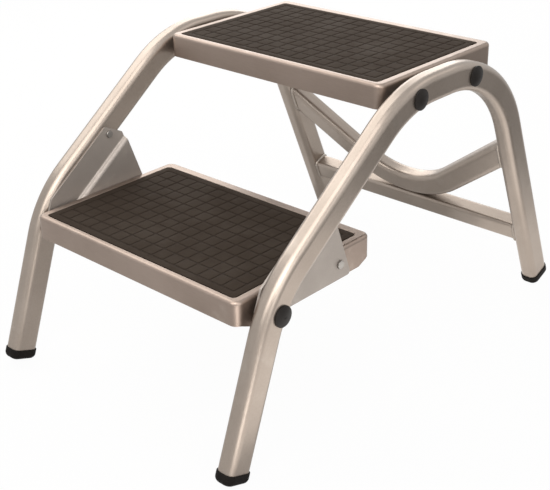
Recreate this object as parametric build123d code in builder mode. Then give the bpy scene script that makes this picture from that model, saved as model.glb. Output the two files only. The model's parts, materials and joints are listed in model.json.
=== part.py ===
from build123d import *
import os
from math import cos, radians, sin, tan

# Free-standing double entry step for a caravan door, in millimetres.
# +Z is up, +Y runs from the lower tread to the upper one, and the origin is on the floor, midway between the feet.

# Treads and mats
mat_width = 376.0
mat_depth = 235.0
mat_thickness = 3.0
mat_corner_radius = 5.0
mat_gap = 1.2
mat_border = 12.0
mat_pad_columns = 16
mat_pad_rows = 9
mat_pad_gap = 2.2
mat_pad_height = 0.8
tread_side_rim = 14.0
tread_front_rim = 10.5
tread_rear_rim = 17.0
tread_wall = 2.0
tread_corner_radius = 12.0
tread_edge_radius = 5.0
recess_depth = 2.5
recess_edge_radius = 0.8
side_flange = 42.0
end_flange = 34.0
flange_step_start = 8.0
flange_step_length = 18.0
flange_step_radius = 12.0

# Where the treads stand
lower_tread_height = 232.0
rise = 205.0
going = 277.0
foot_spread = 732.0
tread_setback = 47.5

# Side tubes
tube_width = 28.0
tube_height = 41.0
tube_wall = 2.0
tube_corner_radius = 10.0
tube_bend_radius = 177.0
tube_gap = 10.0
front_leg_lean = 20.5
rear_leg_lean = 22.25
front_bend_lift = 2.5
top_run_drop = 14.5

# Foot caps
cap_wall = 1.5
cap_grip = 7.0
cap_clearance = 0.1
cap_end_thickness = 8.5
cap_end_radius = 8.0
cap_sole_depth = 1.2
cap_rim_radius = 0.5
plug_length = 22.0
plug_lead_in = 1.5

# Rear crossbar and curved brace
crossbar_depth = 28.0
crossbar_height = 34.0
crossbar_wall = 2.0
crossbar_corner_radius = 6.0
crossbar_level = 103.5
brace_slope = 39.0
brace_bend_radius = 146.0

# Tread bolts with their spacers, washers, nuts and covers
bolt_diameter = 8.0
bolt_clearance = 0.2
bolt_drop = 20.0
bolt_tail = 2.0
upper_bolt_setbacks = (36.5, 164.5)
lower_bolt_setback = 41.5
bolt_head_diameter = 17.0
bolt_head_height = 2.8
bolt_head_radius = 1.2
spacer_diameter = 16.0
washer_diameter = 17.0
washer_thickness = 1.6
nut_width = 13.0
nut_height = 6.5
cover_diameter = 29.0
cover_edge_height = 2.2
cover_height = 5.0
cover_clearance = 0.3

# Lower tread brackets
bracket_thickness = 3.0
bracket_bend_radius = 3.0
bracket_upper_reach = 9.5
bracket_top_front = 136.0
bracket_top_rear = (151.5, 21.5)
bracket_joggle_clear = 3.6265
bracket_joggle_length = 3.0
bracket_heel_setback = 47.0
bracket_toe = 19.0
bracket_toe_foot = 9.5
bracket_corner_radius = 5.0
bracket_rivet_at = (133.0, 4.5)
rivet_diameter = 5.0
rivet_head_diameter = 11.0
rivet_head_height = 2.5
rivet_head_radius = 0.8
rivet_tail = 5.0
small_bolt_setback = 70.0
small_bolt_diameter = 6.0
small_bolt_head_diameter = 12.0
small_bolt_head_height = 3.4
small_bolt_head_radius = 1.1
small_nut_width = 10.0
small_nut_height = 5.0

# Sizes that follow from the treads
tread_width = mat_width + 2 * tread_side_rim
tread_depth = tread_front_rim + mat_depth + tread_rear_rim
upper_tread_height = lower_tread_height + rise
lower_tread_front = tread_setback - foot_spread / 2
lower_tread_rear = lower_tread_front + tread_depth
lower_tread_y = lower_tread_front + tread_depth / 2
upper_tread_y = lower_tread_y + going
upper_tread_front = lower_tread_front + going
treads = {
    "lower": (lower_tread_y, lower_tread_height),
    "upper": (upper_tread_y, upper_tread_height),
}
tread_side = tread_width / 2
tread_inside = tread_side - tread_wall
mat_pad_pitch_x = (mat_width - 2 * mat_border) / mat_pad_columns
mat_pad_pitch_y = (mat_depth - 2 * mat_border) / mat_pad_rows

# Side tube stations across the width
tube_inner_face = tread_side + tube_gap
tube_centre = tube_inner_face + tube_width / 2
tube_outer_face = tube_inner_face + tube_width
sides = {"left": -1, "right": 1}

# Corners of the side tube's centreline as (y, z), before the bends are rounded
front_foot = Vector(-foot_spread / 2, 0)
rear_foot = Vector(foot_spread / 2, 0)
front_corner_z = lower_tread_height + front_bend_lift
front_corner = Vector(front_foot.X + front_corner_z * tan(radians(front_leg_lean)), front_corner_z)
top_run_z = upper_tread_height - top_run_drop
diagonal = Vector(going, rise).normalized()
below_diagonal = Vector(diagonal.Y, -diagonal.X)
top_corner = front_corner + diagonal * ((top_run_z - front_corner_z) / diagonal.Y)
rear_corner = Vector(rear_foot.X - top_run_z * tan(radians(rear_leg_lean)), top_run_z)
front_leg = (front_corner - front_foot).normalized()
rear_leg = (rear_corner - rear_foot).normalized()

# Bolt places on each side as (y, z)
upper_bolts = [(upper_tread_front + setback, upper_tread_height - bolt_drop) for setback in upper_bolt_setbacks]
lower_bolts = [(lower_tread_front + lower_bolt_setback, lower_tread_height - bolt_drop)]
small_bolts = [(lower_tread_rear - small_bolt_setback, lower_tread_height - bolt_drop)]
bolt_hole_radius = bolt_diameter / 2 + bolt_clearance
small_bolt_hole_radius = small_bolt_diameter / 2 + bolt_clearance
rivet_hole_radius = rivet_diameter / 2 + bolt_clearance


def on_diagonal(along, below):
    # Point (y, z) at a distance along the diagonal from the front corner and below its centreline
    spot = front_corner + diagonal * along + below_diagonal * below
    return (spot.X, spot.Y)


rivets = [on_diagonal(*bracket_rivet_at)]


def cap_end_lift(lean):
    # Distance up the leg's axis to its cap's end, where the floor cuts the rounded heel level
    turn = radians(lean)
    heel = tube_height / 2 + cap_clearance + cap_wall - cap_end_radius
    return (cap_end_radius - cap_sole_depth + heel * sin(turn)) / cos(turn) - cap_end_radius


def side_planes(points, distance):
    # Planes at both sides of the step, facing outwards at a distance from its middle
    return [
        Plane(origin=(side * distance, y, z), x_dir=(0, 1, 0), z_dir=(side, 0, 0))
        for side in sides.values()
        for y, z in points
    ]


def drill(points, radius, side, inner, outer):
    # Cut round holes along X through the current part, between two distances from the middle
    with BuildSketch(Plane.YZ.offset(side * inner)) as holes:
        with Locations(*points):
            Circle(radius)
    extrude(holes.sketch, amount=side * (outer - inner), mode=Mode.SUBTRACT)


def tube_section(width, height, wall, corner_radius):
    # Rounded rectangular tube section in the current sketch
    RectangleRounded(width, height, corner_radius)
    RectangleRounded(width - 2 * wall, height - 2 * wall, corner_radius - wall, mode=Mode.SUBTRACT)


def save(piece, label):
    piece.part.label = label
    export_step(piece.part, f"parts/{label}.step")


os.makedirs("parts", exist_ok=True)

# Side tubes: front leg, diagonal, top run and rear leg in one bent tube
tube_start = front_foot + front_leg * (cap_end_lift(front_leg_lean) + cap_end_thickness)
tube_end = rear_foot + rear_leg * (cap_end_lift(rear_leg_lean) + cap_end_thickness)
tube_corners = [tube_start, front_corner, top_corner, rear_corner, tube_end]
for side_name, side in sides.items():
    with BuildPart() as side_tube:
        with BuildLine(Plane.YZ.offset(side * tube_centre)):
            FilletPolyline(*[(corner.X, corner.Y) for corner in tube_corners], radius=tube_bend_radius)
        with BuildSketch(
            Plane(
                origin=(side * tube_centre, tube_start.X, tube_start.Y),
                x_dir=(1, 0, 0),
                z_dir=(0, front_leg.X, front_leg.Y),
            )
        ):
            tube_section(tube_width, tube_height, tube_wall, tube_corner_radius)
        sweep()
        drill(upper_bolts + lower_bolts, bolt_hole_radius, side, tube_inner_face, tube_outer_face)
        drill(rivets, rivet_hole_radius, side, tube_inner_face, tube_centre)
    save(side_tube, f"{side_name}_side_tube")

# Tread pans: pressed sheet with a recess for the mat and a flange that is shallower at the front and rear.
# The mats have a plain border round a grid of pads, parted by grooves.
recess_width = mat_width + 2 * mat_gap
recess_length = mat_depth + 2 * mat_gap
recess_corner_radius = mat_corner_radius + mat_gap
for tread_name, (tread_y, tread_top) in treads.items():
    tread_front = tread_y - tread_depth / 2
    tread_rear = tread_y + tread_depth / 2
    tread_bottom = tread_top - side_flange
    recess_floor = tread_top - recess_depth
    mat_y = tread_front + tread_front_rim + mat_depth / 2
    with BuildPart() as tread_pan:
        with BuildSketch(Plane((0, tread_y, tread_bottom))):
            RectangleRounded(tread_width, tread_depth, tread_corner_radius)
        extrude(amount=side_flange)
        fillet(tread_pan.faces().sort_by(Axis.Z)[-1].edges(), tread_edge_radius)
        offset(amount=-tread_wall, openings=tread_pan.faces().sort_by(Axis.Z)[0])
        with BuildSketch(Plane((0, mat_y, recess_floor - tread_wall))):
            RectangleRounded(
                recess_width + 2 * tread_wall,
                recess_length + 2 * tread_wall,
                recess_corner_radius + tread_wall,
            )
        extrude(amount=recess_depth)
        with BuildSketch(Plane((0, mat_y, recess_floor))):
            RectangleRounded(recess_width, recess_length, recess_corner_radius)
        extrude(amount=recess_depth, mode=Mode.SUBTRACT)
        recess_mouth = tread_pan.faces().filter_by(Axis.Z).sort_by(Axis.Z)[-1].inner_wires()[0]
        fillet(recess_mouth.edges(), recess_edge_radius)
        for tread_end, inwards in ((tread_front, 1), (tread_rear, -1)):
            with BuildSketch(Plane.YZ) as flange_step:
                with BuildLine():
                    Polyline(
                        (tread_end, tread_bottom),
                        (tread_end, tread_top - end_flange),
                        (tread_end + inwards * flange_step_start, tread_top - end_flange),
                        (tread_end + inwards * (flange_step_start + flange_step_length), tread_bottom),
                        close=True,
                    )
                make_face()
                step_corners = flange_step.vertices().group_by(Axis.Y)[-1].sort_by(Axis.X)
                fillet(step_corners[-1 if inwards > 0 else 0], flange_step_radius)
            extrude(amount=tread_side, both=True, mode=Mode.SUBTRACT)
        for side in sides.values():
            drill(
                upper_bolts if tread_name == "upper" else lower_bolts,
                bolt_hole_radius,
                side,
                tread_inside,
                tread_side,
            )
            if tread_name == "lower":
                drill(small_bolts, small_bolt_hole_radius, side, tread_inside, tread_side)
    save(tread_pan, f"{tread_name}_tread_pan")

    with BuildPart() as tread_mat:
        with BuildSketch(Plane((0, mat_y, recess_floor))):
            RectangleRounded(mat_width, mat_depth, mat_corner_radius)
        extrude(amount=mat_thickness)
        with BuildSketch(Plane((0, mat_y, recess_floor + mat_thickness))):
            Rectangle(mat_width - 2 * mat_border + mat_pad_gap, mat_depth - 2 * mat_border + mat_pad_gap)
            with GridLocations(mat_pad_pitch_x, mat_pad_pitch_y, mat_pad_columns, mat_pad_rows):
                Rectangle(mat_pad_pitch_x - mat_pad_gap, mat_pad_pitch_y - mat_pad_gap, mode=Mode.SUBTRACT)
        extrude(amount=-mat_pad_height, mode=Mode.SUBTRACT)
    save(tread_mat, f"{tread_name}_tread_mat")

# Tread brackets: plates that lie on the tube, step inwards along the diagonal and lie on the tread's side
bracket_on_tube = tube_inner_face - bracket_thickness / 2
bracket_on_tread = tread_side + bracket_thickness / 2
bracket_bottom = lower_tread_height - side_flange
bracket_heel_y = lower_tread_rear - bracket_heel_setback
lower_bolt_y, lower_bolt_z = lower_bolts[0]
lower_bolt_below = (Vector(lower_bolt_y, lower_bolt_z) - front_corner).dot(below_diagonal)
bracket_joggle_start = lower_bolt_below + spacer_diameter / 2 + bracket_joggle_clear
bracket_outline = [
    on_diagonal(0, -bracket_upper_reach),
    on_diagonal(bracket_top_front, -bracket_upper_reach),
    on_diagonal(*bracket_top_rear),
    (bracket_heel_y, bracket_bottom),
    (lower_bolt_y - bracket_toe_foot, bracket_bottom),
    (lower_bolt_y - bracket_toe, lower_bolt_z),
]
bracket_length = foot_spread / 2
for side_name, side in sides.items():
    with BuildPart() as tread_bracket:
        with BuildSketch(
            Plane(
                origin=(0, front_corner.X, front_corner.Y),
                x_dir=(1, 0, 0),
                z_dir=(0, diagonal.X, diagonal.Y),
            )
        ):
            with BuildLine():
                FilletPolyline(
                    (side * bracket_on_tube, -2 * bracket_upper_reach),
                    (side * bracket_on_tube, bracket_joggle_start),
                    (side * bracket_on_tread, bracket_joggle_start + bracket_joggle_length),
                    (side * bracket_on_tread, bracket_length),
                    radius=bracket_bend_radius + bracket_thickness / 2,
                )
            trace(line_width=bracket_thickness)
        extrude(amount=bracket_length, both=True)
        with BuildSketch(Plane.YZ.offset(side * tread_side)):
            with BuildLine():
                FilletPolyline(*bracket_outline, radius=bracket_corner_radius, close=True)
            make_face()
        extrude(amount=side * tube_gap, mode=Mode.INTERSECT)
        drill(lower_bolts, bolt_hole_radius, side, tread_side, tube_inner_face)
        drill(small_bolts, small_bolt_hole_radius, side, tread_side, tube_inner_face)
        drill(rivets, rivet_hole_radius, side, tread_side, tube_inner_face)
    save(tread_bracket, f"{side_name}_tread_bracket")

# Rear crossbar: rectangular tube between the rear legs, turned to their lean
rear_across = (0, -rear_leg.Y, rear_leg.X)
crossbar_lift = crossbar_level / cos(radians(rear_leg_lean))
crossbar_spot = rear_foot + rear_leg * crossbar_lift
with BuildPart() as rear_crossbar:
    with BuildSketch(
        Plane(origin=(0, crossbar_spot.X, crossbar_spot.Y), x_dir=rear_across, z_dir=(1, 0, 0))
    ):
        tube_section(crossbar_depth, crossbar_height, crossbar_wall, crossbar_corner_radius)
    extrude(amount=tube_inner_face, both=True)
save(rear_crossbar, "rear_crossbar")

# Rear curved brace: the side tube's section, bent once and resting on the crossbar's middle
rear_plane = Plane(
    origin=(0, rear_foot.X, rear_foot.Y),
    x_dir=(1, 0, 0),
    z_dir=(0, -rear_leg.Y, rear_leg.X),
)
brace_turn = radians(brace_slope)
brace_low = crossbar_lift + (crossbar_height + tube_height) / 2
brace_corner = brace_low - brace_bend_radius * (1 / cos(brace_turn) - 1)
brace_end = brace_corner + tube_centre * tan(brace_turn)
with BuildPart() as rear_curved_brace:
    with BuildLine(rear_plane) as brace_path:
        FilletPolyline(
            (-tube_centre, brace_end),
            (0, brace_corner),
            (tube_centre, brace_end),
            radius=brace_bend_radius,
        )
    with BuildSketch(
        Plane(origin=brace_path.line @ 0, x_dir=rear_plane.z_dir, z_dir=brace_path.line % 0)
    ):
        tube_section(tube_width, tube_height, tube_wall, tube_corner_radius)
    sweep()
    split(bisect_by=Plane.YZ.offset(tube_inner_face), keep=Keep.BOTTOM)
    split(bisect_by=Plane.YZ.offset(-tube_inner_face), keep=Keep.TOP)
save(rear_curved_brace, "rear_curved_brace")

# Foot caps: round-ended cups with a plug inside the tube, cut level where they stand on the floor
socket_width = tube_width + 2 * cap_clearance
socket_height = tube_height + 2 * cap_clearance
socket_radius = tube_corner_radius + cap_clearance
plug_width = tube_width - 2 * (tube_wall + cap_clearance)
plug_height = tube_height - 2 * (tube_wall + cap_clearance)
plug_radius = tube_corner_radius - tube_wall - cap_clearance
legs = {
    "front": (front_foot, front_leg, front_leg_lean),
    "rear": (rear_foot, rear_leg, rear_leg_lean),
}
for leg_name, (foot, leg, lean) in legs.items():
    for side_name, side in sides.items():
        end_plane = Plane(
            origin=(side * tube_centre, foot.X, foot.Y),
            x_dir=(1, 0, 0),
            z_dir=(0, leg.X, leg.Y),
        ).offset(cap_end_lift(lean))
        seat_plane = end_plane.offset(cap_end_thickness)
        leg_axis = Axis(end_plane.origin, end_plane.z_dir)
        with BuildPart() as foot_cap:
            with BuildSketch(end_plane):
                RectangleRounded(
                    socket_width + 2 * cap_wall,
                    socket_height + 2 * cap_wall,
                    socket_radius + cap_wall,
                )
            extrude(amount=cap_end_thickness + cap_grip)
            fillet(foot_cap.faces().sort_by(leg_axis)[0].edges(), cap_end_radius)
            fillet(foot_cap.faces().sort_by(leg_axis)[-1].edges(), cap_rim_radius)
            split(bisect_by=Plane.XY, keep=Keep.TOP)
            with BuildSketch(seat_plane):
                RectangleRounded(socket_width, socket_height, socket_radius)
            extrude(amount=cap_grip, mode=Mode.SUBTRACT)
            with BuildSketch(seat_plane):
                RectangleRounded(plug_width, plug_height, plug_radius)
            extrude(amount=plug_length)
            chamfer(foot_cap.faces().sort_by(leg_axis)[-1].edges(), plug_lead_in)
        save(foot_cap, f"{leg_name}_{side_name}_foot_cap")

# Spacers between each tread and what its bolts draw it to
spacers = {
    "upper": (upper_bolts, tube_gap),
    "lower": (lower_bolts, tube_gap - bracket_thickness),
}
for tread_name, (places, length) in spacers.items():
    with BuildPart() as tread_spacers:
        with BuildSketch(*side_planes(places, tread_side)):
            Circle(spacer_diameter / 2)
            Circle(bolt_hole_radius, mode=Mode.SUBTRACT)
        extrude(amount=length)
    save(tread_spacers, f"{tread_name}_tread_spacers")

# Tread bolts: low heads on the outside of the tubes, shanks through to the nuts
nut_outer = tread_inside - washer_thickness
nut_inner = nut_outer - nut_height
for tread_name, places in {"upper": upper_bolts, "lower": lower_bolts}.items():
    with BuildPart() as tread_bolts:
        with BuildSketch(*side_planes(places, tube_outer_face)):
            Circle(bolt_head_diameter / 2)
        extrude(amount=bolt_head_height)
        fillet(tread_bolts.faces().filter_by(Axis.X).edges(), bolt_head_radius)
        with BuildSketch(*side_planes(places, nut_inner - bolt_tail)):
            Circle(bolt_diameter / 2)
        extrude(amount=tube_outer_face - nut_inner + bolt_tail)
    save(tread_bolts, f"{tread_name}_tread_bolts")

# Washers and nuts inside the treads
all_bolts = upper_bolts + lower_bolts
with BuildPart() as tread_bolt_washers:
    with BuildSketch(*side_planes(all_bolts, nut_outer)):
        Circle(washer_diameter / 2)
        Circle(bolt_hole_radius, mode=Mode.SUBTRACT)
    extrude(amount=washer_thickness)
save(tread_bolt_washers, "tread_bolt_washers")

with BuildPart() as tread_bolt_nuts:
    with BuildSketch(*side_planes(all_bolts, nut_inner)):
        RegularPolygon(nut_width / 2, 6, major_radius=False)
        Circle(bolt_diameter / 2, mode=Mode.SUBTRACT)
    extrude(amount=nut_height)
save(tread_bolt_nuts, "tread_bolt_nuts")

# Bolt covers: shallow domes that hide the bolt heads
with BuildPart() as bolt_covers:
    for seat in side_planes(all_bolts, tube_outer_face):
        with BuildSketch(Plane(origin=seat.origin, x_dir=seat.x_dir, z_dir=-seat.y_dir)):
            with BuildLine():
                Polyline(
                    (0, cover_height),
                    (0, bolt_head_height + cover_clearance),
                    (bolt_head_diameter / 2 + cover_clearance, bolt_head_height + cover_clearance),
                    (bolt_head_diameter / 2 + cover_clearance, 0),
                    (cover_diameter / 2, 0),
                    (cover_diameter / 2, cover_edge_height),
                )
                TangentArc((0, cover_height), (cover_diameter / 2, cover_edge_height), tangent=(1, 0))
            make_face()
        revolve(axis=Axis(seat.origin, seat.z_dir))
save(bolt_covers, "bolt_covers")

# Bracket rivets: flat heads on the bracket's inside, tails in the tube
rivet_seat = tube_inner_face - bracket_thickness
with BuildPart() as bracket_rivets:
    with BuildSketch(*side_planes(rivets, rivet_seat)):
        Circle(rivet_head_diameter / 2)
    extrude(amount=-rivet_head_height)
    fillet(bracket_rivets.faces().filter_by(Axis.X).edges(), rivet_head_radius)
    with BuildSketch(*side_planes(rivets, rivet_seat)):
        Circle(rivet_diameter / 2)
    extrude(amount=bracket_thickness + tube_wall + rivet_tail)
save(bracket_rivets, "bracket_rivets")

# Small bolts and nuts that hold the brackets to the lower tread
small_bolt_seat = tread_side + bracket_thickness
small_nut_seat = tread_inside - small_nut_height
with BuildPart() as bracket_bolts:
    with BuildSketch(*side_planes(small_bolts, small_bolt_seat)):
        Circle(small_bolt_head_diameter / 2)
    extrude(amount=small_bolt_head_height)
    fillet(bracket_bolts.faces().filter_by(Axis.X).edges(), small_bolt_head_radius)
    with BuildSketch(*side_planes(small_bolts, small_nut_seat - bolt_tail)):
        Circle(small_bolt_diameter / 2)
    extrude(amount=small_bolt_seat - small_nut_seat + bolt_tail)
save(bracket_bolts, "bracket_bolts")

with BuildPart() as bracket_nuts:
    with BuildSketch(*side_planes(small_bolts, small_nut_seat)):
        RegularPolygon(small_nut_width / 2, 6, major_radius=False)
        Circle(small_bolt_diameter / 2, mode=Mode.SUBTRACT)
    extrude(amount=small_nut_height)
save(bracket_nuts, "bracket_nuts")
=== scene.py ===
import json
import math

import bmesh
import bpy
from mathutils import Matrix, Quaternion, Vector


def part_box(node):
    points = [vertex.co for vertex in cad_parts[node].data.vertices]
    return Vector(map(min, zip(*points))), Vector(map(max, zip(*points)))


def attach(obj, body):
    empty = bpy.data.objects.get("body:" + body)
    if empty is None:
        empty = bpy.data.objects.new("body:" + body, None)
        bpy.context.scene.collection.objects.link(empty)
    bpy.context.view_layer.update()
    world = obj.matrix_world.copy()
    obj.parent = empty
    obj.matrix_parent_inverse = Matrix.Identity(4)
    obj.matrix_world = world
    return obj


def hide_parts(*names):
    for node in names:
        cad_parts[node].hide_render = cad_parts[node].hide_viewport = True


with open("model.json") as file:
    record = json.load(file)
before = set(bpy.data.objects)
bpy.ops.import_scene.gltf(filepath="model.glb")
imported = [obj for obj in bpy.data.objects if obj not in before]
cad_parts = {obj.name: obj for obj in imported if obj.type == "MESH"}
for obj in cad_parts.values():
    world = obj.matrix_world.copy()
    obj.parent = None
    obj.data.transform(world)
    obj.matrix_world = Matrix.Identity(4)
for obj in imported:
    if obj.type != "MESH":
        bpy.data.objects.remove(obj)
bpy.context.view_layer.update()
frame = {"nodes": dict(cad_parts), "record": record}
nodes = frame["nodes"]
mm = 0.001
print("frame loaded,", len(nodes), "nodes")


class Wire:
    # a shader socket that takes part in Python sums; sums of plain numbers stay in Python
    def __init__(self, tree, socket=None):
        self.tree = tree
        self.socket = socket

    def node(self, kind, settings=None, sockets=None, out=0):
        # any node, with its settings and inputs; gives the output asked for
        made = self.tree.nodes.new(kind)
        for name, value in (settings or {}).items():
            setattr(made, name, value)
        for name, value in (sockets or {}).items():
            if isinstance(value, Wire):
                self.tree.links.new(value.socket, made.inputs[name])
            else:
                made.inputs[name].default_value = value
        return None if out is None else Wire(self.tree, made.outputs[out])

    def maths(self, operation, *values):
        return self.node("ShaderNodeMath", {"operation": operation}, dict(enumerate(values)))

    def __add__(self, other):
        return self.maths("ADD", self, other)

    def __sub__(self, other):
        return self.maths("SUBTRACT", self, other)

    def __rsub__(self, other):
        return self.maths("SUBTRACT", other, self)

    def __mul__(self, other):
        return self.maths("MULTIPLY", self, other)

    __radd__ = __add__
    __rmul__ = __mul__

    def max(self, other):
        return self.maths("MAXIMUM", self, other)

    def clip(self, low, high):
        # 0 below low, 1 above high, eased between
        return self.node(
            "ShaderNodeMapRange",
            {"interpolation_type": "SMOOTHSTEP"},
            {"Value": self, "From Min": low, "From Max": high},
        )

    def places(self, output="Object"):
        return self.node("ShaderNodeTexCoord", out=output)

    def stretched(self, scale):
        # positions scaled along X, Y and Z, for streaks
        return self.node("ShaderNodeVectorMath", {"operation": "MULTIPLY"}, {0: self, 1: scale})

    def noise(self, scale, detail, roughness):
        return self.node(
            "ShaderNodeTexNoise",
            {"noise_dimensions": "3D"},
            {"Vector": self, "Scale": scale, "Detail": detail, "Roughness": roughness},
        )

    def between(self, dark, light):
        # two colours, or colour wires, mixed by this value; 6, 7 and 2 are the colour sockets
        return self.node(
            "ShaderNodeMix",
            {"data_type": "RGBA"},
            {"Factor": self, 6: asColour(dark), 7: asColour(light)},
            out=2,
        )

    def bump(self, strength, distance):
        return self.node(
            "ShaderNodeBump", {}, {"Height": self, "Strength": strength, "Distance": distance},
        )


def asColour(value):
    return value if isinstance(value, Wire) else (*value, 1)


def newFinish(name, fixed, linked):
    # fixed: plain values on the shader; linked: a function that gives the varying ones
    material = bpy.data.materials.new(name)
    material.use_nodes = True
    tree = material.node_tree
    shader = tree.nodes["Principled BSDF"]
    for socket, value in fixed.items():
        shader.inputs[socket].default_value = value
    for socket, wire in linked(Wire(tree)).items():
        tree.links.new(wire.socket, shader.inputs[socket])
    return material


# Finishes: a Noise pair holds detail and roughness, an Edge pair the start and end of a blend
noiseMiddle = 0.5
satin = {
    "cloudNoise": (3.0, 0.55), "grainNoise": (3.0, 0.6), "rubNoise": (4.0, 0.62),
    "cloudShare": 0.7, "toneEdge": (0.3, 0.7), "rubShare": 0.35, "rubEdge": (0.56, 0.72),
    "bumpDepth": 0.2 * mm,
}


def satinMetal(name, look):
    # drawn or pressed metal: cloudy tone, fine grain, faint streaks and a few rubbed patches
    def linked(wire):
        at = wire.places()
        clouds = at.noise(look["cloudScale"], *satin["cloudNoise"])
        grain = at.stretched(look["grainStretch"]).noise(look["grainScale"], *satin["grainNoise"])
        rubs = at.noise(look["rubScale"], *satin["rubNoise"]).clip(*satin["rubEdge"])
        mottle = clouds * satin["cloudShare"] + grain * (1 - satin["cloudShare"])
        base = mottle.clip(*satin["toneEdge"]).between(look["dark"], look["light"])
        swing = (grain - noiseMiddle) * look["roughSwing"]
        return {
            "Base Color": (rubs * satin["rubShare"]).between(base, look["rubbed"]),
            "Roughness": look["rough"] + swing + rubs * look["rubGloss"],
            "Normal": grain.bump(look["bump"], satin["bumpDepth"]),
        }

    return newFinish(name, {"Metallic": look["metallic"]}, linked)


tubeLook = {
    "dark": (0.3, 0.254, 0.217), "light": (0.365, 0.312, 0.27), "rubbed": (0.43, 0.385, 0.34),
    "metallic": 0.88, "rough": 0.34, "roughSwing": 0.12, "rubGloss": -0.05, "bump": 0.05,
    "cloudScale": 9.0, "rubScale": 14.0, "grainScale": 900.0, "grainStretch": (1.0, 0.35, 0.35),
}
treadLook = {
    "dark": (0.254, 0.201, 0.168), "light": (0.313, 0.252, 0.215), "rubbed": (0.4, 0.345, 0.3),
    "metallic": 0.93, "rough": 0.42, "roughSwing": 0.12, "rubGloss": -0.06, "bump": 0.06,
    "cloudScale": 7.0, "rubScale": 18.0, "grainScale": 900.0, "grainStretch": (0.12, 1.0, 1.0),
}
bracketLook = {
    "dark": (0.342, 0.302, 0.27), "light": (0.42, 0.375, 0.338), "rubbed": (0.48, 0.435, 0.398),
    "metallic": 0.3, "rough": 0.5, "roughSwing": 0.16, "rubGloss": -0.06, "bump": 0.05,
    "cloudScale": 11.0, "rubScale": 22.0, "grainScale": 1000.0, "grainStretch": (1.0, 0.5, 0.5),
}
zincLook = {
    "dark": (0.28, 0.265, 0.247), "light": (0.36, 0.344, 0.324), "rubbed": (0.43, 0.413, 0.392),
    "metallic": 0.95, "rough": 0.36, "roughSwing": 0.16, "rubGloss": -0.06, "bump": 0.06,
    "cloudScale": 70.0, "rubScale": 90.0, "grainScale": 1400.0, "grainStretch": (1.0, 1.0, 1.0),
}
weldLook = {
    "dark": (0.31, 0.27, 0.235), "light": (0.42, 0.375, 0.33), "rubbed": (0.5, 0.455, 0.41),
    "metallic": 0.95, "rough": 0.36, "roughSwing": 0.2, "rubGloss": -0.05, "bump": 0.1,
    "cloudScale": 60.0, "rubScale": 80.0, "grainScale": 1200.0, "grainStretch": (1.0, 1.0, 1.0),
}

moulded = {
    "pebbleNoise": (2.0, 0.5), "dustNoise": (4.0, 0.6), "dustEdge": (0.45, 0.75),
    "dustRough": 0.08, "bumpDepth": 0.3 * mm,
}


def mouldedBlack(name, look):
    # moulded rubber or plastic: fine pebble grain and a little dust
    def linked(wire):
        at = wire.places()
        pebble = at.noise(look["pebbleScale"], *moulded["pebbleNoise"])
        dust = at.noise(look["dustScale"], *moulded["dustNoise"]).clip(*moulded["dustEdge"])
        swing = (pebble - noiseMiddle) * look["roughSwing"]
        return {
            "Base Color": (dust * look["dustShare"]).between(look["base"], look["dusty"]),
            "Roughness": look["rough"] + swing + dust * moulded["dustRough"],
            "Normal": pebble.bump(look["bump"], moulded["bumpDepth"]),
        }

    return newFinish(name, {"Specular IOR Level": look["specular"]}, linked)


capLook = {
    "base": (0.0065, 0.0051, 0.0042), "dusty": (0.026, 0.021, 0.0175),
    "dustScale": 45.0, "dustShare": 0.25, "pebbleScale": 1400.0,
    "rough": 0.62, "roughSwing": 0.2, "bump": 0.25, "specular": 0.11,
}
coverLook = {
    "base": (0.0098, 0.0076, 0.0064), "dusty": (0.028, 0.023, 0.019),
    "dustScale": 60.0, "dustShare": 0.35, "pebbleScale": 1800.0,
    "rough": 0.46, "roughSwing": 0.16, "bump": 0.14, "specular": 0.18,
}
spacerLook = {
    "base": (0.011, 0.009, 0.0078), "dusty": (0.03, 0.025, 0.022),
    "dustScale": 80.0, "dustShare": 0.4, "pebbleScale": 2000.0,
    "rough": 0.5, "roughSwing": 0.16, "bump": 0.12, "specular": 0.3,
}

matLook = {
    # the darkest colour here is painted shade in the grooves and down the mat's sides, fading to
    # the pad colour higher up
    "grooveShade": (0.031, 0.0226, 0.0168), "pad": (0.0418, 0.0304, 0.0226), "grooveShadeEdge": (0.66, 0.96),
    "worn": (0.0515, 0.0388, 0.0297), "wearScale": 16.0, "wearNoise": (4.0, 0.6),
    "wearEdge": (0.4, 0.68), "wearShare": 0.8, "wearGloss": -0.06,
    "pebbleScale": 900.0, "pebbleNoise": (3.0, 0.55), "bump": 0.3, "bumpDepth": 0.25 * mm,
    "rough": 0.82, "roughSwing": 0.2, "specular": 0.06,
}


def padRubber(name, look):
    # tread rubber: painted shade, darker the lower it lies, in the grooves and down the mat's
    # sides; the pads lighter and a little worn
    def linked(wire):
        at, share = wire.places(), wire.places("Generated")
        level = wire.node("ShaderNodeSeparateXYZ", {}, {"Vector": share}, out="Z")
        pebble = at.noise(look["pebbleScale"], *look["pebbleNoise"])
        wear = at.noise(look["wearScale"], *look["wearNoise"]).clip(*look["wearEdge"])
        mottle = wear * look["wearShare"] + pebble * (1 - look["wearShare"])
        top = mottle.between(look["pad"], look["worn"])
        swing = (pebble - noiseMiddle) * look["roughSwing"]
        return {
            # painted shade: the low parts of the mat take the darker groove colour
            "Base Color": level.clip(*look["grooveShadeEdge"]).between(look["grooveShade"], top),
            "Roughness": look["rough"] + swing + wear * look["wearGloss"],
            "Normal": pebble.bump(look["bump"], look["bumpDepth"]),
        }

    return newFinish(name, {"Specular IOR Level": look["specular"]}, linked)


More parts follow.
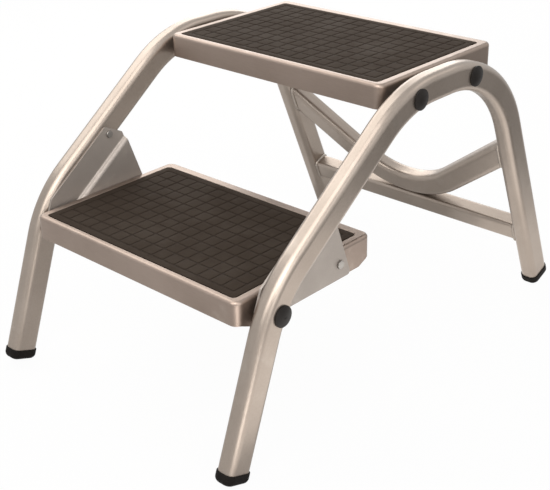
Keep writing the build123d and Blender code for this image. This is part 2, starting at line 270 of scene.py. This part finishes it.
finishes = {
    "tube_metal": satinMetal("tubeSatin", tubeLook),
    "tread_metal": satinMetal("treadSatin", treadLook),
    "bracket_metal": satinMetal("bracketSatin", bracketLook),
    "fastener_steel": satinMetal("fastenerZinc", zincLook),
    "mat_rubber": padRubber("matRubber", matLook),
    "cap_rubber": mouldedBlack("capRubber", capLook),
    "cover_plastic": mouldedBlack("coverPlastic", coverLook),
    "spacer_plastic": mouldedBlack("spacerPlastic", spacerLook),
}
weldFinish = satinMetal("weldBead", weldLook)
for part in frame["record"]["subparts"]:
    slots = nodes[part["node"]].data.materials
    slots.clear()
    slots.append(finishes[part["material_slot"]])
print("finishes made,", len(finishes) + 1)


def roundedRect(width, depth, radius, steps):
    # corner arcs of a rectangle as flat points, counter-clockwise
    points = []
    for turn, (sx, sy) in enumerate(((1, 1), (-1, 1), (-1, -1), (1, -1))):
        for step in range(steps + 1):
            angle = math.pi / 2 * (turn + step / steps)
            points.append(Vector((
                sx * (width / 2 - radius) + radius * math.cos(angle),
                sy * (depth / 2 - radius) + radius * math.sin(angle),
                0,
            )))
    return points


def addSkin(mesh, low, high):
    # a band of faces between two closed rows of corners
    for index in range(len(low)):
        after = (index + 1) % len(low)
        mesh.faces.new((low[index], low[after], high[after], high[index]))


def addLoft(mesh, rings):
    # skin between closed rings of points, with both ends shut
    rows = [[mesh.verts.new(point) for point in ring] for ring in rings]
    for low, high in zip(rows, rows[1:]):
        addSkin(mesh, low, high)
    mesh.faces.new(list(reversed(rows[0])))
    mesh.faces.new(rows[-1])


def addPiece(mesh, name, material, replaced, sharpAbove=None):
    # edges that turn by more degrees than sharpAbove stay crisp
    data = bpy.data.meshes.new(name)
    bmesh.ops.recalc_face_normals(mesh, faces=mesh.faces)
    mesh.to_mesh(data)
    mesh.free()
    data.shade_smooth()
    if sharpAbove is not None:
        data.set_sharp_from_angle(angle=math.radians(sharpAbove))
    data.materials.append(material)
    piece = bpy.data.objects.new(name, data)
    bpy.context.scene.collection.objects.link(piece)
    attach(piece, "root")
    if replaced:
        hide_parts(*replaced)


# Tread mats: a plate with a softened rim, a sunk field and a grid of low crowned pads in it
mat = {
    "corner": 5 * mm, "rimRound": 0.6 * mm, "border": 12 * mm, "fieldCorner": 3 * mm,
    "columns": 16, "rows": 9, "gap": 2.2 * mm, "grooveDepth": 0.8 * mm, "sink": 0.3 * mm,
    "padCorner": 2.6 * mm, "padRound": 0.5 * mm, "padRoundFall": 0.25 * mm, "bevelShare": 0.3,
    "flare": 0.3 * mm, "flareFoot": 0.05 * mm, "flareTop": 0.2 * mm,
    "crown": 0.22 * mm, "crownShare": 0.5, "crownInsets": (3.2 * mm, 7 * mm),
    "leastCorner": 0.2 * mm, "plateSteps": 8, "padSteps": 4, "sharpAbove": 50,
}


def rectRings(spot, width, depth, corner, steps, levels):
    # the same rounded rectangle at several heights, each grown or shrunk
    rings = []
    for level, grow in levels:
        radius = max(corner + grow, mat["leastCorner"])
        outline = roundedRect(width + 2 * grow, depth + 2 * grow, radius, steps)
        rings.append([spot + point + Vector((0, 0, level)) for point in outline])
    return rings


def padLevels(floor, top):
    # height and growth, from a flared foot over a rounded edge to a faint crown
    edge = top - mat["crown"]
    bevel, inset, fall = mat["bevelShare"], mat["padRound"], mat["padRoundFall"]
    crownMiddle, crownTop = mat["crownInsets"]
    return (
        (floor - mat["sink"], mat["flare"]),
        (floor + mat["flareFoot"], mat["flare"]),
        (floor + mat["flareTop"], 0.0),
        (edge - fall, 0.0),
        (edge - bevel * fall, -bevel * inset),
        (edge, -inset),
        (edge + mat["crownShare"] * mat["crown"], -crownMiddle),
        (top, -crownTop),
    )


def buildMat(node):
    low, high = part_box(node)
    centre = Vector(((low.x + high.x) / 2, (low.y + high.y) / 2, 0))
    width, depth = high.x - low.x, high.y - low.y
    gridX, gridY = width - 2 * mat["border"], depth - 2 * mat["border"]
    pitchX, pitchY = gridX / mat["columns"], gridY / mat["rows"]
    floor, top = high.z - mat["grooveDepth"], high.z - mat["crown"]
    rim, lip, bevel = mat["rimRound"], mat["padRound"], mat["bevelShare"]
    mesh = bmesh.new()
    plate = rectRings(centre, width, depth, mat["corner"], mat["plateSteps"], (
        (low.z, 0.0), (top - rim, 0.0), (top - bevel * rim, -bevel * rim), (top, -rim),
    ))
    field = rectRings(
        centre, gridX + mat["gap"], gridY + mat["gap"], mat["fieldCorner"], mat["plateSteps"], (
            (top, lip), (top - bevel * lip, bevel * lip),
            (floor + mat["flareTop"], 0.0), (floor, -mat["flare"]),
        ),
    )
    addLoft(mesh, plate + field)
    levels = padLevels(floor, high.z)
    for column in range(mat["columns"]):
        for row in range(mat["rows"]):
            spot = centre + Vector((
                (column - (mat["columns"] - 1) / 2) * pitchX,
                (row - (mat["rows"] - 1) / 2) * pitchY,
                0,
            ))
            addLoft(mesh, rectRings(
                spot, pitchX - mat["gap"], pitchY - mat["gap"],
                mat["padCorner"], mat["padSteps"], levels,
            ))
    addPiece(
        mesh, node + "_padded", finishes["mat_rubber"], [node], mat["sharpAbove"],
    )


for tread in ("lower", "upper"):
    buildMat(tread + "_tread_mat")
print("mats built")


# Nuts: hexagons with turned-off corners and a countersunk thread mouth
nut = {
    "sides": 6, "roundSteps": 48, "mouth": 0.55 * mm, "sharpAbove": 25,
    "chamfer": 0.09, "faceShare": 0.96, "coneShare": 0.2, "mergeWithin": 0.001 * mm,
}
nutSets = {
    "tread_bolt_nuts": {"width": 13 * mm, "bore": 8 * mm},
    "bracket_nuts": {"width": 10 * mm, "bore": 6 * mm},
}


def hexRadius(angle, width):
    sector = 2 * math.pi / nut["sides"]
    return width / 2 / math.cos((angle + sector / 2) % sector - sector / 2)


def addNut(mesh, low, high, width, bore):
    # rows run round X: out along the face, over the cones and flats, and in to the bore
    centreY, centreZ = (low.y + high.y) / 2, (low.z + high.z) / 2
    faceRadius = width / 2 * nut["faceShare"]
    boreRadius, mouth = bore / 2, nut["mouth"]
    angles = [2 * math.pi * step / nut["roundSteps"] for step in range(nut["roundSteps"])]

    def corner(x, radius, angle):
        return mesh.verts.new((
            x, centreY + radius * math.cos(angle), centreZ + radius * math.sin(angle),
        ))

    def ring(x, radius):
        return [corner(x, radius, angle) for angle in angles]

    def coned(x, inward):
        # the cone cuts deeper towards the hexagon's corners
        row = []
        for angle in angles:
            radius = hexRadius(angle, width)
            rise = (radius - faceRadius) / (width / 2 * nut["coneShare"])
            row.append(corner(x + inward * nut["chamfer"] * width * rise, radius, angle))
        return row

    rows = [
        ring(low.x, boreRadius + mouth),
        ring(low.x, faceRadius),
        coned(low.x, 1),
        coned(high.x, -1),
        ring(high.x, faceRadius),
        ring(high.x, boreRadius + mouth),
        ring(high.x - mouth, boreRadius),
        ring(low.x + mouth, boreRadius),
    ]
    for row, following in zip(rows, rows[1:] + rows[:1]):
        addSkin(mesh, row, following)


def looseParts(node):
    # lowest and highest corner of each solid in a node
    mesh = bmesh.new()
    mesh.from_mesh(nodes[node].data)
    bmesh.ops.remove_doubles(mesh, verts=mesh.verts, dist=nut["mergeWithin"])
    left = set(mesh.verts)
    found = []
    while left:
        group, waiting = set(), [left.pop()]
        while waiting:
            vert = waiting.pop()
            group.add(vert.co.copy().freeze())
            near = {link.other_vert(vert) for link in vert.link_edges} & left
            left -= near
            waiting.extend(near)
        found.append((
            Vector([min(point[axis] for point in group) for axis in range(3)]),
            Vector([max(point[axis] for point in group) for axis in range(3)]),
        ))
    mesh.free()
    return sorted(found, key=lambda box: tuple(box[0]))


for node, size in nutSets.items():
    mesh = bmesh.new()
    for low, high in looseParts(node):
        addNut(mesh, low, high, size["width"], size["bore"])
    addPiece(
        mesh, node + "_chamfered", finishes["fastener_steel"], [node],
        nut["sharpAbove"],
    )
print("nuts built")


# Welds: rippled beads round the ends of the crossbar and the brace
weld = {
    "radius": 2.8 * mm, "bury": 0.35, "around": 10, "cornerSteps": 5,
    "ripple": 0.22, "pitch": 3.2 * mm, "stepsPerRipple": 4,
}
# Measures of the rear frame, as the solids have them
rear = {"lean": 22.25, "tubeFace": 212 * mm, "footY": 366 * mm}
crossbar = {"depth": 28 * mm, "height": 34 * mm, "corner": 6 * mm, "level": 103.5 * mm}
brace = {"depth": 28 * mm, "height": 41 * mm, "corner": 10 * mm, "slope": 39.0, "bend": 146 * mm}

lean = math.radians(rear["lean"])
upLeg = Vector((0, -math.sin(lean), math.cos(lean)))
outOfLegs = Vector((0, math.cos(lean), math.sin(lean)))
crossbarLift = crossbar["level"] / math.cos(lean)
braceTurn = math.radians(brace["slope"])
braceLow = crossbarLift + (crossbar["height"] + brace["height"]) / 2
braceCorner = braceLow - brace["bend"] * (1 / math.cos(braceTurn) - 1)


def evenly(points, pitch):
    # closed polyline walked in equal steps
    lengths = [(b - a).length for a, b in zip(points, points[1:] + points[:1])]
    count = round(sum(lengths) / pitch)
    walk, index, done = [], 0, 0.0
    for step in range(count):
        goal = sum(lengths) * step / count
        while done + lengths[index] < goal:
            done += lengths[index]
            index += 1
        a, b = points[index], points[(index + 1) % len(points)]
        walk.append(a.lerp(b, (goal - done) / lengths[index]))
    return walk


def addBead(mesh, points, outward):
    # a closed tube that swells once per ripple; outward is square to the loop
    steps = weld["stepsPerRipple"]
    path = evenly(points, weld["pitch"] / steps)
    angles = [2 * math.pi * step / weld["around"] for step in range(weld["around"])]
    rings = []
    for index, point in enumerate(path):
        ahead = (path[(index + 1) % len(path)] - path[index - 1]).normalized()
        across = ahead.cross(outward).normalized()
        phase = index % steps / (steps - 1) - 0.5  # from -0.5 to 0.5 along each ripple
        swell = weld["radius"] * (1 + weld["ripple"] * phase)
        rings.append([
            mesh.verts.new(point + (across * math.cos(a) + outward * math.sin(a)) * swell)
            for a in angles
        ])
    for ring, following in zip(rings, rings[1:] + rings[:1]):
        addSkin(mesh, ring, following)


def sectionRing(bar, x, lift, stretch):
    # the outline of a bar's end on the leg, at that height along it
    centre = Vector((x, rear["footY"], 0)) + upLeg * lift
    outline = roundedRect(bar["depth"], bar["height"], bar["corner"], weld["cornerSteps"])
    return [centre + outOfLegs * point.x + upLeg * (point.y * stretch) for point in outline]


beads = bmesh.new()
for side in (-1, 1):
    face = side * (rear["tubeFace"] - weld["bury"] * weld["radius"])
    outward = Vector((side, 0, 0))
    braceLift = braceCorner + abs(face) * math.tan(braceTurn)
    addBead(beads, sectionRing(crossbar, face, crossbarLift, 1.0), outward)
    addBead(beads, sectionRing(brace, face, braceLift, 1 / math.cos(braceTurn)), outward)
addPiece(beads, "rear_weld_beads", weldFinish, [])
print("welds built")


# Stage: pale floor, white surround, soft lamps and cards that only the metal mirrors
upward = (0.0, 0.0, 1.0)
whiteLight = (1.0, 1.0, 1.0)
surround = {
    "ambient": 0.4, "floorSize": 9.0, "floorColour": (0.88, 0.87, 0.86),
    "cameraShare": 0.965, "mirrorShare": 0.45, "cardTint": (1.0, 0.97, 0.94),
    "lampTarget": (0, 0, 0.2), "wattsPerLevel": 4,
}
lamps = {
    "keyLamp": {"at": (-1.55, 0.0, 1.95), "size": 1.7, "level": 2.0, "tint": (1.0, 0.97, 0.93)},
    "frontTopLamp": {"at": (0.62, -1.3, 2.0), "size": 1.1, "level": 2.8, "tint": (1.0, 0.98, 0.96)},
    "backLamp": {"at": (-1.55, 1.7, 1.35), "size": 1.6, "level": 1.9, "tint": (1.0, 0.97, 0.94)},
    "sideLamp": {"at": (1.9, -0.7, 1.0), "size": 1.2, "level": 1.9, "tint": (1.0, 0.97, 0.94)},
}
cards = {
    "frontCard": {
        "at": (1.25, -1.35, 0.28), "face": (-0.68, 0.73, 0.0), "size": (0.9, 0.5), "glow": 1.2,
    },
    "cornerCard": {"at": (0.64, -0.63, 0.005), "face": upward, "size": (0.46, 0.32), "glow": 6.0},
    "nearCard": {"at": (0.5, -0.1, 0.004), "face": upward, "size": (0.4, 0.75), "glow": 1.8},
    "streakCard": {
        "at": (0.35, -0.95, 2.1), "face": (0.0, 0.3, -1.0), "size": (1.8, 1.1), "glow": 4.0,
    },
    "bendCard": {
        "at": (0.1, -1.95, 1.5), "face": (0.0, 0.8, -0.6), "size": (1.3, 1.0), "glow": 4.5,
    },
    "lipCard": {
        "at": (1.35, -1.4, 1.72), "face": (-0.55, 0.5, -0.67), "size": (0.8, 0.8), "glow": 7.0,
    },
    "innerCard": {"at": (0.27, 0.38, 0.003), "face": upward, "size": (0.36, 0.62), "glow": 1.3},
    # painted shadow: a dim panel for the step's shadow on the floor beneath it, seen only in the
    # metal
    "stepShadowCard": {"at": (-0.12, 0.25, 0.003), "face": upward, "size": (0.3, 0.35), "glow": 0.56},
    "rimCard": {
        "at": (1.31, 1.63, 1.98), "face": (-0.52, -0.65, -0.55), "size": (1.2, 0.9), "glow": 2.2,
    },
    "darkCard": {"at": (1.28, 1.0, 0.004), "face": upward, "size": (1.5, 1.3), "glow": 0.3},
}


def rayKinds(wire):
    # 1 where the camera, a mirroring surface or clear stuff looks
    kinds = ("Is Camera Ray", "Is Glossy Ray", "Is Transmission Ray")
    return [wire.node("ShaderNodeLightPath", out=kind) for kind in kinds]


def buildWorld():
    world = bpy.data.worlds.new("studioSurround")
    world.use_nodes = True
    bpy.context.scene.world = world
    world.node_tree.nodes.clear()
    wire = Wire(world.node_tree)
    camera, glossy, clear = rayKinds(wire)
    dim, bright = (
        wire.node("ShaderNodeBackground", {}, {"Color": asColour(whiteLight), "Strength": strength})
        for strength in (surround["ambient"], 1.0)
    )
    seen = camera.max(glossy).max(clear)
    mixed = wire.node("ShaderNodeMixShader", {}, {0: seen, 1: dim, 2: bright})
    wire.node("ShaderNodeOutputWorld", {}, {"Surface": mixed}, out=None)


def addPanel(name, size, surface):
    # a flat panel whose material shows what the function surface gives
    mesh = bmesh.new()
    bmesh.ops.create_grid(mesh, x_segments=1, y_segments=1, size=0.5)
    bmesh.ops.scale(mesh, vec=(*size, 1), verts=mesh.verts)
    data = bpy.data.meshes.new(name)
    mesh.to_mesh(data)
    mesh.free()
    material = bpy.data.materials.new(name)
    material.use_nodes = True
    material.node_tree.nodes.clear()
    wire = Wire(material.node_tree)
    wire.node("ShaderNodeOutputMaterial", {}, {"Surface": surface(wire)}, out=None)
    data.materials.append(material)
    panel = bpy.data.objects.new(name, data)
    bpy.context.scene.collection.objects.link(panel)
    return panel


def emission(wire, tint, strength):
    return wire.node("ShaderNodeEmission", {}, {"Color": asColour(tint), "Strength": strength})


def floorSurface(wire):
    # matt to the lamps' light, near white to the camera, half bright in the metal
    camera, glossy, clear = rayKinds(wire)
    share = (camera.max(clear) * surround["cameraShare"]).max(glossy * surround["mirrorShare"])
    matt = wire.node("ShaderNodeBsdfDiffuse", {}, {"Color": asColour(surround["floorColour"])})
    bright = emission(wire, whiteLight, 1.0)
    return wire.node("ShaderNodeMixShader", {}, {0: share, 1: matt, 2: bright})


def buildFloor():
    floor = addPanel("studioFloor", (surround["floorSize"], surround["floorSize"]), floorSurface)


def buildLamp(name, lamp):
    # level is the brightness of the lamp's face
    data = bpy.data.lights.new(name, "AREA")
    data.shape = "SQUARE"
    data.size = lamp["size"]
    data.energy = surround["wattsPerLevel"] * lamp["level"] * lamp["size"] ** 2
    data.color = lamp["tint"]
    made = bpy.data.objects.new(name, data)
    made.location = lamp["at"]
    aim = Vector(surround["lampTarget"]) - Vector(lamp["at"])
    made.rotation_euler = aim.to_track_quat("-Z", "Y").to_euler()
    bpy.context.scene.collection.objects.link(made)


def buildCard(name, card):
    # a plain panel that shows only in reflections
    def surface(wire):
        return emission(wire, surround["cardTint"], card["glow"])

    panel = addPanel(name, card["size"], surface)
    panel.location = card["at"]
    panel.rotation_euler = Vector(card["face"]).to_track_quat("Z", "Y").to_euler()
    for ray in ("camera", "diffuse", "transmission", "shadow"):
        setattr(panel, "visible_" + ray, False)


buildWorld()
buildFloor()
for name, card in cards.items():
    buildCard(name, card)
for name, lamp in lamps.items():
    buildLamp(name, lamp)
print("stage built")


# Camera, as the photograph was taken
view = {
    "at": (1.0309, -1.1209, 0.883), "azimuth": 43.488, "elevation": 26.376, "roll": -1.479,
    "lens": 71.54, "sensor": 36.0,
}
turn, tilt = math.radians(view["azimuth"]), math.radians(view["elevation"])
sight = Vector((
    -math.sin(turn) * math.cos(tilt), math.cos(turn) * math.cos(tilt), -math.sin(tilt),
))
roll = Quaternion((0, 0, 1), math.radians(view["roll"]))
cameraData = bpy.data.cameras.new("photoCamera")
cameraData.lens = view["lens"]
cameraData.sensor_width = view["sensor"]
photoCamera = bpy.data.objects.new("photoCamera", cameraData)
photoCamera.rotation_mode = "QUATERNION"
photoCamera.location = view["at"]
photoCamera.rotation_quaternion = sight.to_track_quat("-Z", "Y") @ roll
bpy.context.scene.collection.objects.link(photoCamera)
bpy.context.scene.camera = photoCamera
bpy.context.scene.view_settings.view_transform = "Standard"
print("camera set")
